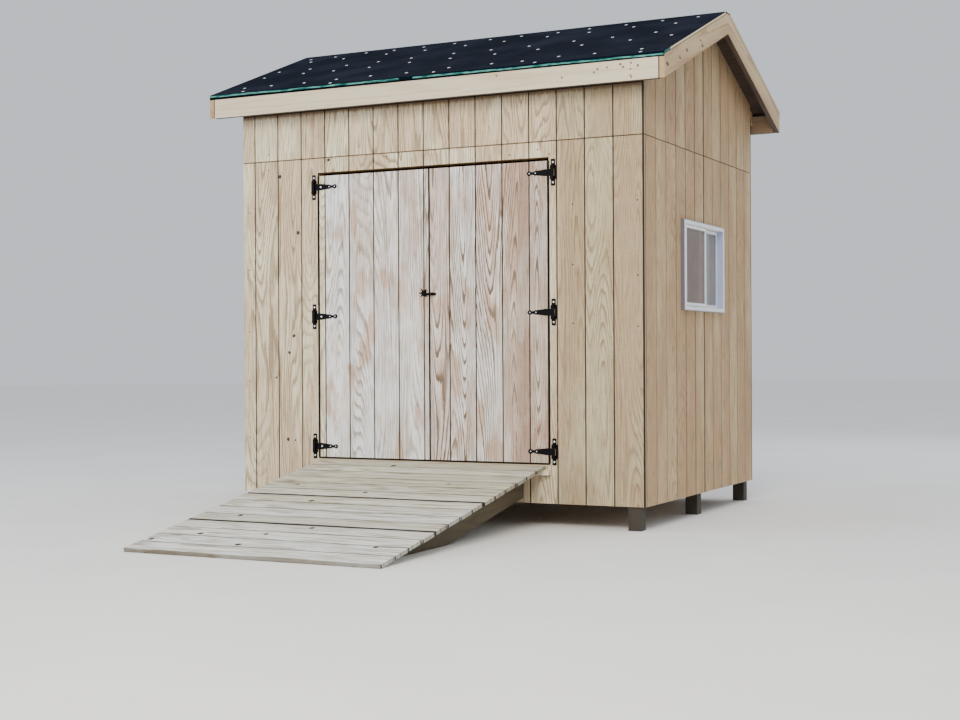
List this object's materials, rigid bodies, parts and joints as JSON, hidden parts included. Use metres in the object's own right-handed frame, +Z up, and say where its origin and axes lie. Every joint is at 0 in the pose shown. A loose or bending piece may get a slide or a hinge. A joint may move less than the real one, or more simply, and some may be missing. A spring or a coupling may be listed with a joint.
{
  "type": "timber shed",
  "caption": "Small gabled timber shed with grooved plywood siding, hinged double doors, a sliding side window and a boarded entrance ramp.",
  "frame": {"origin": "floor level, in the middle of the footprint with the ramp", "axes": "+X to the right along the door wall, +Y to the back, +Z up"},
  "size_m": [3.557, 4.8025, 3.6138],
  "materials": {
    "wall_siding": "rough sawn, bare",
    "door_siding": "rough sawn, bare",
    "framing_lumber": "sawn",
    "sheet_wood": "sawn sheet",
    "treated_post": "sawn",
    "roofing_felt": "matt",
    "trim_boards": "planed",
    "white_vinyl": "satin",
    "window_glass": "clear",
    "ramp_boards": "sawn, weathered",
    "ramp_bearers": "sawn, dark",
    "black_steel": "satin black"
  },
  "bodies": {
    "shed": {"posts": "treated_post", "floor_beams": "framing_lumber", "floor_joists": "framing_lumber", "floor_deck": "sheet_wood", "threshold": "sheet_wood", "front_wall_left": "wall_siding", "front_wall_right": "wall_siding", "front_wall_over_door": "wall_siding", "front_wall_under_door": "wall_siding", "front_wall_upper": "wall_siding", "right_wall_front": "wall_siding", "right_wall_back": "wall_siding", "right_wall_over_window": "wall_siding", "right_wall_under_window": "wall_siding", "right_gable": "wall_siding", "left_wall": "wall_siding", "left_gable": "wall_siding", "back_wall": "wall_siding", "back_wall_upper": "wall_siding", "front_framing": "framing_lumber", "back_framing": "framing_lumber", "side_framing": "framing_lumber", "rafters": "framing_lumber", "ridge_board": "framing_lumber", "roof_sheathing": "sheet_wood", "roof_felt": "roofing_felt", "front_fascia": "trim_boards", "back_fascia": "trim_boards", "right_rake_boards": "trim_boards", "left_rake_boards": "trim_boards", "window_frame": "white_vinyl", "window_sashes": "white_vinyl", "window_glass": "window_glass", "ramp_ledger": "ramp_boards", "ramp_stringers": "ramp_bearers", "ramp_deck": "ramp_boards", "hinge_plates": "black_steel"},
    "left_door": {"left_door_panel": "door_siding", "left_door_frame": "framing_lumber", "left_door_straps": "black_steel", "door_latch": "black_steel"},
    "right_door": {"right_door_panel": "door_siding", "right_door_frame": "framing_lumber", "right_door_straps": "black_steel", "latch_keeper": "black_steel"}
  },
  "joints": [
    {"name": "left_door_hinge", "type": "hinge", "parent": "shed", "child": "left_door", "pos_m": [-0.962, -0.195, 0.429], "axis": [0, 0, -1], "range_deg": [0, 170]},
    {"name": "right_door_hinge", "type": "hinge", "parent": "shed", "child": "right_door", "pos_m": [0.935, -0.195, 0.429], "axis": [0, 0, 1], "range_deg": [0, 170]}
  ]
}
